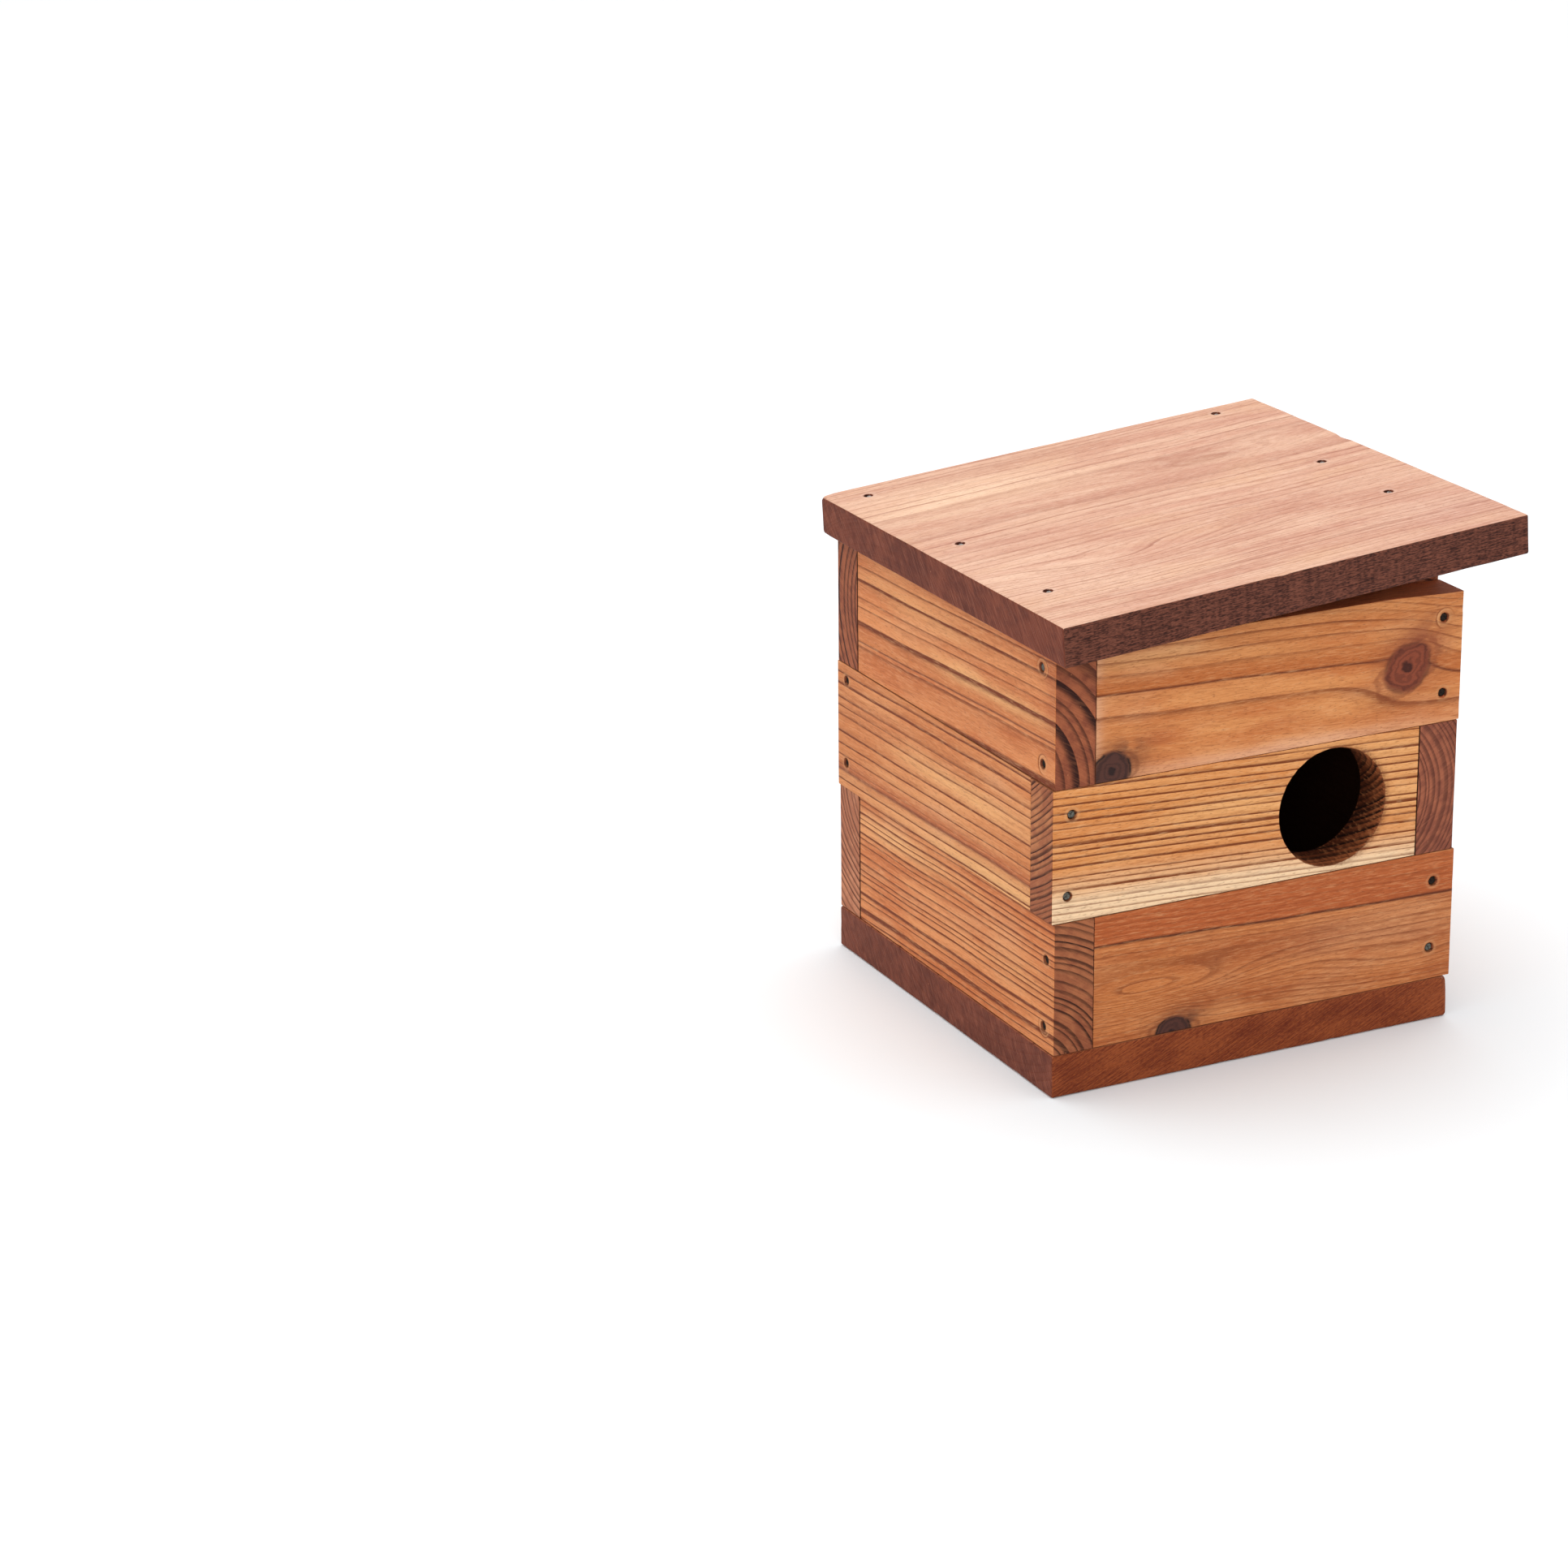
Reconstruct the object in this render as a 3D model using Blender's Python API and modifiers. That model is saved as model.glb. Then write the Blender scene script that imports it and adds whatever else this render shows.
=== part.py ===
"""Cedar birdhouse: three courses of butt-jointed boards on a floor panel, under a sloping roof board.

Every course is four boards of one length, each running past its neighbour at one corner and
stopping against the other neighbour at the next.  The middle course turns the other way round, so
the corner joints interlock.  One wall of the top course is cut taller, and that tilts the roof.
The house (walls and roof, nailed together) lifts off the floor panel once four screws are out.

Metres, +Z up, the entrance faces -Y.  The origin is the centre of the floor panel's underside.
"""
import math

import bmesh
import bpy
from mathutils import Matrix, Vector

# --- driving dimensions ---------------------------------------------------------------------
SIDE = 0.197                # outside width and depth of the box
BOARD = 0.019               # thickness of the wall boards and of the floor panel
COURSE = 0.0584             # height of one wall board
GAP = 0.0003                # seam between neighbouring pieces
TALL_RISE = 0.0135          # extra height of the top course's right-hand board
EASE = 0.0005               # rounding of the walls' sawn edges
FLOOR_EASE = 0.0010         # rounding of the floor panel's and the roof's edges

ROOF_BOARD = 0.0175         # thickness of the roof
ROOF_LEFT = 0.0055          # how far the roof reaches past each wall
ROOF_RIGHT = 0.0200
ROOF_FRONT = 0.0175
ROOF_REAR = 0.0040

ENTRANCE_RADIUS = 0.026
ENTRANCE_X = 0.0363         # right of the centre line

NAIL_LENGTH = 0.040
NAIL_SHANK_RADIUS = 0.0011
NAIL_HEAD_RADIUS = 0.0017
NAIL_HEAD_HEIGHT = 0.0016
NAIL_SUNK = 0.0008          # depth of a nail's head below the wood's surface
NAIL_TIP = 0.0040

SCREW_LENGTH = 0.040
SCREW_SHANK_RADIUS = 0.0019
SCREW_HEAD_RADIUS = 0.0040
SCREW_HEAD_HEIGHT = 0.0026
SCREW_SUNK = 0.0006
SCREW_TIP = 0.0060
SCREW_Y = 0.045             # the floor screws stand this far to the front and to the rear
DRIVE_WIDTH = 0.0012        # arms of the cross recess in a screw's head
DRIVE_SPAN = 0.0044
DRIVE_DEPTH = 0.0014

ROUND_SIDES = 12            # facets of a nail, a screw and their holes
ENTRANCE_SIDES = 64

# --- what follows from them -----------------------------------------------------------------
HALF = SIDE / 2
PITCH = COURSE + GAP
WALL_TOP = BOARD + 3 * PITCH
SLOPE = math.atan2(TALL_RISE, SIDE - BOARD)
BOARD_LENGTH = SIDE - BOARD - GAP
ROOF_WIDTH = ROOF_LEFT + SIDE / math.cos(SLOPE) + ROOF_RIGHT
ROOF_DEPTH = ROOF_FRONT + SIDE + ROOF_REAR

# Seen from outside, a side's local X runs to the right; its turn about Z brings it round.
SIDES = {"front": 0.0, "right": math.radians(90), "back": math.radians(180), "left": math.radians(270)}
COURSES = ("bottom", "middle", "top")
# The courses were nailed up by eye, and sit a little out of line with one another.
COURSE_DRIFT = {"bottom": Vector((0.0005, 0, 0)), "middle": Vector((-0.0004, 0.0002, 0)),
                "top": Vector((0, 0, 0))}

# Two nails hold each corner joint: (inset from the corner, height above the board's lower edge),
# upper nail first.  Hand-driven, so each joint differs a little.
JOINT_NAILS = {
    ("front", "top"): ((0.0093, 0.0466), (0.0088, 0.0131)),
    ("front", "middle"): ((0.0089, 0.0470), (0.0072, 0.0114)),
    ("front", "bottom"): ((0.0103, 0.0452), (0.0109, 0.0145)),
    ("left", "top"): ((0.0119, 0.0498), (0.0103, 0.0086)),
    ("left", "middle"): ((0.0087, 0.0512), (0.0080, 0.0122)),
    ("left", "bottom"): ((0.0068, 0.0408), (0.0088, 0.0104)),
    ("back", "top"): ((0.0060, 0.0460), (0.0082, 0.0120)),
    ("back", "middle"): ((0.0090, 0.0480), (0.0094, 0.0110)),
    ("back", "bottom"): ((0.0098, 0.0440), (0.0086, 0.0130)),
    ("right", "top"): ((0.0092, 0.0400), (0.0100, 0.0105)),
    ("right", "middle"): ((0.0084, 0.0475), (0.0090, 0.0125)),
    ("right", "bottom"): ((0.0096, 0.0450), (0.0088, 0.0118)),
}
# Three nails through each side of the roof into the wall below: (X, Y) of each.
ROOF_NAILS = {
    "left_front": (-0.0868, -0.0725),
    "left_middle": (-0.0866, 0.0040),
    "left_rear": (-0.0872, 0.0885),
    "right_front": (0.0904, -0.0527),
    "right_middle": (0.0910, 0.0010),
    "right_rear": (0.0925, 0.0925),
}
FLOOR_SCREWS = {
    "front_left": (-(HALF - BOARD / 2), -SCREW_Y),
    "front_right": (HALF - BOARD / 2, -SCREW_Y),
    "rear_left": (-(HALF - BOARD / 2), SCREW_Y),
    "rear_right": (HALF - BOARD / 2, SCREW_Y),
}


# --- scene and materials --------------------------------------------------------------------
def new_collection(name):
    collection = bpy.data.collections.new(name)
    bpy.context.scene.collection.children.link(collection)
    return collection


def make_material(name, colour, roughness, metallic=0.0):
    material = bpy.data.materials.new(name)
    material.use_nodes = True
    shader = material.node_tree.nodes["Principled BSDF"]
    shader.inputs["Base Color"].default_value = (*colour, 1.0)
    shader.inputs["Roughness"].default_value = roughness
    shader.inputs["Metallic"].default_value = metallic
    material.diffuse_color = (*colour, 1.0)
    return material


def add_object(name, mesh, collection, parent=None, material=None):
    obj = bpy.data.objects.new(name, mesh)
    collection.objects.link(obj)
    obj.parent = parent
    if material is not None and not mesh.materials:
        mesh.materials.append(material)
    return obj


def add_empty(name, collection):
    empty = bpy.data.objects.new(name, None)
    empty.empty_display_size = BOARD
    collection.objects.link(empty)
    return empty


def hide_cutter(cutter):
    cutter.hide_render = True
    cutter.display_type = "WIRE"
    return cutter


# --- shapes ---------------------------------------------------------------------------------
def box_mesh(name, size, centre=(0, 0, 0)):
    bm = bmesh.new()
    bmesh.ops.create_cube(bm, size=1.0, matrix=Matrix.Translation(centre) @ Matrix.Diagonal((*size, 1)))
    mesh = bpy.data.meshes.new(name)
    bm.to_mesh(mesh)
    bm.free()
    return mesh


def cylinder_mesh(name, radius, depth, sides):
    bm = bmesh.new()
    bmesh.ops.create_cone(bm, cap_ends=True, segments=sides, radius1=radius, radius2=radius, depth=depth)
    mesh = bpy.data.meshes.new(name)
    bm.to_mesh(mesh)
    bm.free()
    return mesh


def profile_mesh(name, points):
    """A turned shape's outline in the XZ plane, listed from top to bottom, for a Screw modifier."""
    mesh = bpy.data.meshes.new(name)
    mesh.from_pydata([(x, 0, z) for x, z in points], [(i, i + 1) for i in range(len(points) - 1)], [])
    return mesh


def turn_profile(obj):
    screw = obj.modifiers.new("turned", "SCREW")
    screw.steps = ROUND_SIDES
    screw.render_steps = ROUND_SIDES
    screw.use_merge_vertices = True
    screw.merge_threshold = 0.00001
    screw.use_smooth_shade = False
    return obj


def ease_edges(obj, width):
    bevel = obj.modifiers.new("eased edges", "BEVEL")
    bevel.width = width
    bevel.segments = 2
    bevel.limit_method = "ANGLE"


def cut(obj, cutter):
    boolean = obj.modifiers.new("cut " + cutter.name, "BOOLEAN")
    boolean.operation = "DIFFERENCE"
    boolean.solver = "EXACT"
    boolean.object = cutter


# --- nails and screws -----------------------------------------------------------------------
def nail_outline(clearance=0.0, rise=0.0):
    """Half-section of a finishing nail, head top at Z 0.  A hole is the same shape, grown."""
    head = NAIL_HEAD_RADIUS + clearance
    shank = NAIL_SHANK_RADIUS + clearance
    below_head = -NAIL_HEAD_HEIGHT - clearance
    foot = -NAIL_LENGTH - clearance
    return [(0, rise), (head, rise), (head, below_head), (shank, below_head),
            (shank, foot + NAIL_TIP), (0, foot)]


def screw_outline(clearance=0.0, rise=0.0):
    """Half-section of a countersunk wood screw, head top at Z 0."""
    head = SCREW_HEAD_RADIUS + clearance
    shank = SCREW_SHANK_RADIUS + clearance
    below_head = -SCREW_HEAD_HEIGHT - clearance
    foot = -SCREW_LENGTH - clearance
    outline = [(0, rise), (head, rise), (shank, below_head), (shank, foot + SCREW_TIP), (0, foot)]
    if rise:
        outline.insert(2, (head, 0))
    return outline


class Fasteners:
    """Makes every nail and screw, with the hole that each one needs."""

    def __init__(self, parts, cutters, steel, zinc):
        self.parts = parts
        self.cutters = cutters
        self.nail = profile_mesh("nail outline", nail_outline())
        self.nail.materials.append(steel)
        self.nail_hole = profile_mesh("nail hole outline", nail_outline(GAP, 2 * BOARD))
        self.screw = profile_mesh("screw outline", screw_outline())
        self.screw.materials.append(zinc)
        self.screw_hole = profile_mesh("screw hole outline", screw_outline(GAP, BOARD))

    def place(self, name, body, hole, location, rotation, parent):
        """Returns the fastener and its hole cutter, both with the head's top at location."""
        pair = []
        for mesh, label, collection in ((body, name, self.parts), (hole, name + " hole", self.cutters)):
            obj = turn_profile(add_object(label, mesh, collection, parent))
            obj.location = location
            obj.rotation_euler = rotation
            pair.append(obj)
        hide_cutter(pair[1])
        return pair

    def add_nail(self, name, location, rotation, parent):
        return self.place(name, self.nail, self.nail_hole, location, rotation, parent)[1]

    def add_screw(self, name, location, rotation, parent):
        screw, hole = self.place(name, self.screw, self.screw_hole, location, rotation, parent)
        for index, size in enumerate(((DRIVE_SPAN, DRIVE_WIDTH), (DRIVE_WIDTH, DRIVE_SPAN))):
            # Both arms of the cross reach up past the head's top face.
            slot = box_mesh("drive", (*size, 2 * DRIVE_DEPTH))
            cutter = hide_cutter(add_object(f"{name} drive {index}", slot, self.cutters, parent))
            cutter.location = location
            cutter.rotation_euler = rotation
            cut(screw, cutter)
        return hole


# --- the walls ------------------------------------------------------------------------------
def runs_right(course):
    """True where each board reaches the corner at its right-hand end."""
    return course != "middle"


def side_point(side, course, x, inward, height):
    """A point given in a side's own terms: along it from its centre, in from its face, above ground."""
    turned = Matrix.Rotation(SIDES[side], 3, "Z") @ Vector((x, inward - HALF, height))
    return turned + COURSE_DRIFT[course]


def course_floor(course):
    return BOARD + GAP + COURSES.index(course) * PITCH


def make_board(side, course, parts, parent, material):
    height = COURSE + (TALL_RISE if (side, course) == ("right", "top") else 0)
    mesh = box_mesh(f"{side} board", (BOARD_LENGTH, BOARD, height))
    board = add_object(f"{side}_board_{course}", mesh, parts, parent, material)
    offset = (SIDE - BOARD_LENGTH) / 2 * (1 if runs_right(course) else -1)
    board.location = side_point(side, course, offset, BOARD / 2, course_floor(course) + height / 2)
    board.rotation_euler = (0, 0, SIDES[side])
    ease_edges(board, EASE)
    return board


def joined_side(side, course):
    """The side whose board end a side's nails go into: the one at the corner that this side covers."""
    order = list(SIDES)
    step = 1 if runs_right(course) else -1
    return order[(order.index(side) + step) % len(order)]


def nail_joint(side, course, boards, fasteners, parent):
    corner = HALF if runs_right(course) else -HALF
    for level, (inset, height) in zip(("upper", "lower"), JOINT_NAILS[side, course]):
        x = corner - math.copysign(inset, corner)
        spot = side_point(side, course, x, NAIL_SUNK, course_floor(course) + height)
        turn = (math.radians(90), 0, SIDES[side])
        hole = fasteners.add_nail(f"nail_{side}_{course}_{level}", spot, turn, parent)
        cut(boards[side, course], hole)
        cut(boards[joined_side(side, course), course], hole)


def cut_entrance(board, cutters, parent):
    mesh = cylinder_mesh("entrance bore", ENTRANCE_RADIUS, 3 * BOARD, ENTRANCE_SIDES)
    bore = hide_cutter(add_object("entrance bore", mesh, cutters, parent))
    bore.location = (ENTRANCE_X, BOARD / 2 - HALF, course_floor("middle") + COURSE / 2)
    bore.rotation_euler = (math.radians(90), 0, 0)
    cut(board, bore)


# --- the roof -------------------------------------------------------------------------------
def roof_underside(x):
    """Height of the roof's underside above ground at X: it rests on the left wall's outer edge."""
    return WALL_TOP + GAP + (x + HALF) * math.tan(SLOPE)


def make_roof(parts, parent, material):
    size = (ROOF_WIDTH, ROOF_DEPTH, ROOF_BOARD)
    centre = (ROOF_WIDTH / 2 - ROOF_LEFT, (ROOF_REAR - ROOF_FRONT) / 2, ROOF_BOARD / 2)
    roof = add_object("roof_panel", box_mesh("roof", size, centre), parts, parent, material)
    roof.location = (-HALF, 0, roof_underside(-HALF))
    roof.rotation_euler = (0, -SLOPE, 0)
    ease_edges(roof, FLOOR_EASE)
    return roof


def nail_roof(roof, boards, fasteners, parent):
    for place, (x, y) in ROOF_NAILS.items():
        top = roof_underside(x) + ROOF_BOARD / math.cos(SLOPE)
        hole = fasteners.add_nail(f"roof_nail_{place}", (x, y, top - NAIL_SUNK), (0, 0, 0), parent)
        cut(roof, hole)
        # The rear left nail comes down on the back board, which fills that corner.
        below = "back" if place == "left_rear" else place.split("_")[0]
        cut(boards[below, "top"], hole)


# --- the floor ------------------------------------------------------------------------------
def make_floor(parts, parent, material):
    mesh = box_mesh("floor", (SIDE, SIDE, BOARD), (0, 0, BOARD / 2))
    floor = add_object("floor_panel", mesh, parts, parent, material)
    ease_edges(floor, FLOOR_EASE)
    return floor


def screw_floor(floor, boards, fasteners, parent):
    for place, (x, y) in FLOOR_SCREWS.items():
        # Turned over, so that the head is on the underside and the point in the wall.
        hole = fasteners.add_screw(f"floor_screw_{place}", (x, y, SCREW_SUNK), (math.pi, 0, 0), parent)
        cut(floor, hole)
        cut(boards[place.split("_")[1], "bottom"], hole)


# --- the whole birdhouse --------------------------------------------------------------------
def build():
    for obj in list(bpy.data.objects):
        bpy.data.objects.remove(obj, do_unlink=True)
    parts = new_collection("birdhouse")
    cutters = new_collection("cutters")
    floor_group = add_empty("floor group", parts)
    house_group = add_empty("house group", parts)

    cedar = {
        "top": make_material("cedar orange", (0.62, 0.33, 0.15), 0.62),
        "middle": make_material("cedar yellow", (0.68, 0.40, 0.17), 0.62),
        "bottom": make_material("cedar red", (0.58, 0.28, 0.12), 0.62),
    }
    roof_wood = make_material("cedar roof", (0.55, 0.30, 0.22), 0.65)
    floor_wood = make_material("cedar floor", (0.30, 0.12, 0.06), 0.60)
    steel = make_material("nail steel", (0.30, 0.30, 0.27), 0.45, metallic=1.0)
    zinc = make_material("screw zinc", (0.62, 0.60, 0.52), 0.35, metallic=1.0)
    fasteners = Fasteners(parts, cutters, steel, zinc)

    boards = {}
    for course in COURSES:
        for side in SIDES:
            boards[side, course] = make_board(side, course, parts, house_group, cedar[course])
    for course in COURSES:
        for side in SIDES:
            nail_joint(side, course, boards, fasteners, house_group)
    cut_entrance(boards["front", "middle"], cutters, house_group)

    roof = make_roof(parts, house_group, roof_wood)
    nail_roof(roof, boards, fasteners, house_group)
    floor = make_floor(parts, floor_group, floor_wood)
    screw_floor(floor, boards, fasteners, floor_group)


build()
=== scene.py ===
"""The cedar birdhouse's looks: every board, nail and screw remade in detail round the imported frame.

Lengths inside the wood are millimetres.  A plank's own directions are: along its grain, across its
face, and inward from its outer face.
"""

import math

import bmesh
import bpy
from mathutils import Matrix, Vector, noise


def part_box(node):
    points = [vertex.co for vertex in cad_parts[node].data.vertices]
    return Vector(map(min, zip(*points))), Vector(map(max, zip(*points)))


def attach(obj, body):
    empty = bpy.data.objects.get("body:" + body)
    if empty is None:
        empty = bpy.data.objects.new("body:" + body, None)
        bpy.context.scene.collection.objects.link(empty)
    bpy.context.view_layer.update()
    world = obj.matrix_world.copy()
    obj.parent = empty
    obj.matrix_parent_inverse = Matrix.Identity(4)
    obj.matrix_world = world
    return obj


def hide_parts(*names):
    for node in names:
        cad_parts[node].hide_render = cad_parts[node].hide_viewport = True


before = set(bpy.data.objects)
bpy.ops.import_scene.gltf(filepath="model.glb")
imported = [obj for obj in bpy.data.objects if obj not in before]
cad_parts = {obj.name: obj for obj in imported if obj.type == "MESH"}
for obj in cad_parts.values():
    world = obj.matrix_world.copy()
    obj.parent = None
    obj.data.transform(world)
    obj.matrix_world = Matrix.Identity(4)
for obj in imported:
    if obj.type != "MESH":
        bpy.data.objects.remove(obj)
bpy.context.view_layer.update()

MM = 0.001                  # metres in a millimetre
SKIN = 0.00003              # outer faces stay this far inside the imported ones
SEAM_FILL = 0.00012         # wall boards reach this far into the seams between them
ROOF_RISE = 0.0135          # the right wall is this much taller than the left one
ROOF_RUN = 0.178            # from where the roof lies on the left wall to where it lies on the right
ROOF_SLOPE = math.atan2(ROOF_RISE, ROOF_RUN)
ENTRANCE_X = 0.0363         # the entrance's centre, right of the middle of the box
UP = Vector((0, 0, 1))
TURNS = {"front": 0, "right": 90, "back": 180, "left": 270}     # degrees round the box
COURSES = ("bottom", "middle", "top")
LEVELS = ("upper", "lower")
ENTRANCE_BOARD = "front_board_middle"


# --- planks ---
class Plank:
    """Where one board lies: its lowest corner, its three directions and its size in millimetres."""

    def __init__(self, node, along, across, inward, inset=(SKIN, SKIN, SKIN)):
        self.node = node
        self.axes = [Vector(v).normalized() for v in (along, across, inward)]
        corners = [v.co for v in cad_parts[node].data.vertices]
        low = [min(c @ axis for c in corners) + gap for axis, gap in zip(self.axes, inset)]
        high = [max(c @ axis for c in corners) - gap for axis, gap in zip(self.axes, inset)]
        self.size = [(b - a) / MM for a, b in zip(low, high)]
        self.origin = sum((axis * a for axis, a in zip(self.axes, low)), Vector())

    def local(self, point):
        return [(point - self.origin) @ axis / MM for axis in self.axes]

    def world(self, l, w, t):
        return self.origin + sum((a * (x * MM) for a, x in zip(self.axes, (l, w, t))), Vector())

    def hole_of(self, fastener):
        """(along, across) of a nail in this plank."""
        places = [self.local(v.co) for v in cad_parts[fastener].data.vertices]
        return [sum((min(p[i] for p in places), max(p[i] for p in places))) / 2 for i in (0, 1)]


def wall_plank(side, course):
    turn = Matrix.Rotation(math.radians(TURNS[side]), 3, "Z")
    inset = (-SEAM_FILL, -SEAM_FILL, SKIN)
    return Plank(f"{side}_board_{course}", turn @ Vector((1, 0, 0)), UP, turn @ Vector((0, 1, 0)), inset)


def roof_plank():
    turn = Matrix.Rotation(-ROOF_SLOPE, 3, "Y")
    return Plank("roof_panel", turn @ Vector((1, 0, 0)), (0, 1, 0), turn @ Vector((0, 0, -1)))


# --- board meshes ---
EDGE_CUTS = (0, 0.42, 0.73, 1.0, 1.8, 3.2)      # the first mesh lines in from each edge
DEPTH_STEP = 4.5                                # between the mesh lines through a board's thickness
DENT_STEP = 0.6                                 # between the mesh lines across a dent
DENT_LINES = 9                                  # on each side of its middle
RING_DEPTH = 0.38                               # of the ring that a hammer leaves round a nail
HOLLOW_DEPTH = 0.12                             # of the wider hollow inside that ring


def grid_lines(length, step, dents):
    """Where a board's mesh is cut along one direction: close together at its edges and its dents."""
    edge = list(EDGE_CUTS)
    inner = length - 2 * edge[-1]
    count = max(1, round(inner / step))
    lines = [edge[-1] + inner * i / count for i in range(1, count)]
    for centre in dents:
        lines = [x for x in lines if abs(x - centre) > DENT_STEP * DENT_LINES]
        lines += [centre + DENT_STEP * i for i in range(-DENT_LINES, DENT_LINES + 1)]
    lines = [x for x in lines if edge[-1] + 0.2 < x < length - edge[-1] - 0.2]
    lines += edge + [length - x for x in edge]
    lines.sort()
    kept = lines[:1]
    for x in lines[1:]:
        if x - kept[-1] > 0.12:
            kept.append(x)
    return kept


def wander(x, y, z, seed):
    """Smooth noise from 0 to 1."""
    return 0.5 + 0.5 * max(-1, min(1, 1.4 * noise.noise((x + seed * 7.3, y - seed * 3.1, z + seed))))


def weather(plank, point, look):
    """Rounds a board's edges unevenly, chips them here and there, and bends its faces a little."""
    seed = look["seed"]
    radius = look["ease"] * (0.8 + 0.4 * wander(*(x / 13 for x in point), seed))
    chip = wander(*(x / 4.5 for x in point), seed + 5)
    radius *= 1 + look["chips"] * max(0, chip - 0.72) * 7
    for worn_l, reach, drop in look["worn_corners"]:
        near = math.exp(-((point[0] - worn_l) / reach) ** 2) * (point[1] / plank.size[1]) ** 8
        point = [point[0], point[1] - drop * near, point[2]]
    for nick_l, nick_w, reach, drop in look["nicks"]:
        away = math.hypot(point[0] - nick_l, (point[1] - nick_w) * 0.5) + point[2] * 0.25
        radius += drop * math.exp(-(away / reach) ** 2)
    inner = [min(max(x, radius), size - radius) for x, size in zip(point, plank.size)]
    off = Vector(a - b for a, b in zip(point, inner))
    if off.length > 0:
        point = [b + d * radius / off.length for b, d in zip(inner, off)]
    l, w, t = point
    width, depth = plank.size[1], plank.size[2]
    t += 0.16 * wander(l / 45, w / 24, 0, seed + 2) * (1 - t / depth)
    w += 0.05 * wander(l / 30, 0, t / 30, seed + 3) * (1 - 2 * w / width)
    return [l, w, t]


def dent(point, dents):
    """Presses the ring that a hammer leaves round a nail."""
    l, w, t = point
    if t > 1:
        return point
    for centre_l, centre_w, reach, opening in dents:
        away = math.hypot(l - centre_l, w - centre_w)
        angle = math.atan2(w - centre_w, l - centre_l)
        part = 0.5 + 0.5 * math.cos(angle - opening)
        t += RING_DEPTH * math.exp(-((away - reach) / 0.45) ** 2) * part
        t += HOLLOW_DEPTH * math.exp(-(away / 3.2) ** 2)
    return [l, w, t]


def board_mesh(name, plank, look, dents):
    """A closed box of quads whose surface is cut by the grid lines, weathered and dented."""
    cuts = [grid_lines(plank.size[0], look["step"], [d[0] for d in dents]),
            grid_lines(plank.size[1], look["step"], [d[1] for d in dents]),
            grid_lines(plank.size[2], DEPTH_STEP, [])]
    bm = bmesh.new()
    made = {}

    def corner(index):
        if index not in made:
            point = [cuts[axis][i] for axis, i in enumerate(index)]
            made[index] = bm.verts.new(plank.world(*dent(weather(plank, point, look), dents)))
        return made[index]

    last = [len(c) - 1 for c in cuts]
    for axis in range(3):
        u, v = [a for a in range(3) if a != axis]
        for end in (0, last[axis]):
            for i in range(last[u]):
                for j in range(last[v]):
                    ring = []
                    for di, dj in ((0, 0), (1, 0), (1, 1), (0, 1)):
                        index = [0, 0, 0]
                        index[axis] = end
                        index[u] = i + di
                        index[v] = j + dj
                        ring.append(corner(tuple(index)))
                    bm.faces.new(ring)
    bmesh.ops.recalc_face_normals(bm, faces=bm.faces)
    mesh = bpy.data.meshes.new(name)
    bm.to_mesh(mesh)
    bm.free()
    return mesh


def lathe_mesh(name, outline, sides, wobble=None):
    """A closed turned solid round Z from (radius, height) points that start and end on the axis."""
    bm = bmesh.new()
    rings = []
    for row, (radius, height) in enumerate(outline):
        if radius == 0:
            rings.append([bm.verts.new((0, 0, height))])
            continue
        ring = []
        for k in range(sides):
            angle = 2 * math.pi * k / sides
            r = radius + (wobble(row, angle) if wobble else 0)
            ring.append(bm.verts.new((r * math.cos(angle), r * math.sin(angle), height)))
        rings.append(ring)
    for upper, lower in zip(rings, rings[1:]):
        for k in range(sides):
            after = (k + 1) % sides
            if len(upper) == 1:
                bm.faces.new((upper[0], lower[k], lower[after]))
            elif len(lower) == 1:
                bm.faces.new((upper[k], lower[0], upper[after]))
            else:
                bm.faces.new((upper[k], lower[k], lower[after], upper[after]))
    bmesh.ops.recalc_face_normals(bm, faces=bm.faces)
    mesh = bpy.data.meshes.new(name)
    bm.to_mesh(mesh)
    bm.free()
    return mesh


def add_object(name, mesh):
    obj = bpy.data.objects.new(name, mesh)
    bpy.context.scene.collection.objects.link(obj)
    return obj


def cut_away(obj, cutters):
    """Cuts the cutters out of obj for good, removes them, and gives obj's new mesh."""
    for cutter in cutters:
        boolean = obj.modifiers.new("cut", "BOOLEAN")
        boolean.operation = "DIFFERENCE"
        boolean.solver = "EXACT"
        boolean.object = cutter
    bpy.context.view_layer.update()
    graph = bpy.context.evaluated_depsgraph_get()
    mesh = bpy.data.meshes.new_from_object(obj.evaluated_get(graph))
    obj.modifiers.clear()
    obj.data = mesh
    for cutter in cutters:
        bpy.data.objects.remove(cutter)
    return mesh


def shade(mesh, sharp=32):
    """Smooth shading with a crease wherever two faces meet at more than this angle in degrees."""
    bm = bmesh.new()
    bm.from_mesh(mesh)
    for face in bm.faces:
        face.smooth = True
    for edge in bm.edges:
        edge.smooth = len(edge.link_faces) == 2 and edge.calc_face_angle(0) < math.radians(sharp)
    bm.to_mesh(mesh)
    bm.free()


# --- shader fields ---
class Field:
    """A number or colour that varies over a surface: one output socket of a growing node tree."""

    def __init__(self, tree, socket):
        self.tree = tree
        self.socket = socket

    def __add__(self, other):
        return calc("ADD", self, other)

    def __sub__(self, other):
        return calc("SUBTRACT", self, other)

    def __rsub__(self, other):
        return calc("SUBTRACT", other, self)

    def __mul__(self, other):
        return calc("MULTIPLY", self, other)

    def __truediv__(self, other):
        return calc("DIVIDE", self, other)

    __radd__ = __add__
    __rmul__ = __mul__


def feed(socket, value):
    if isinstance(value, Field):
        value.tree.links.new(value.socket, socket)
    elif isinstance(value, tuple):
        socket.default_value = (*value, 1.0)
    else:
        socket.default_value = value


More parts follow.
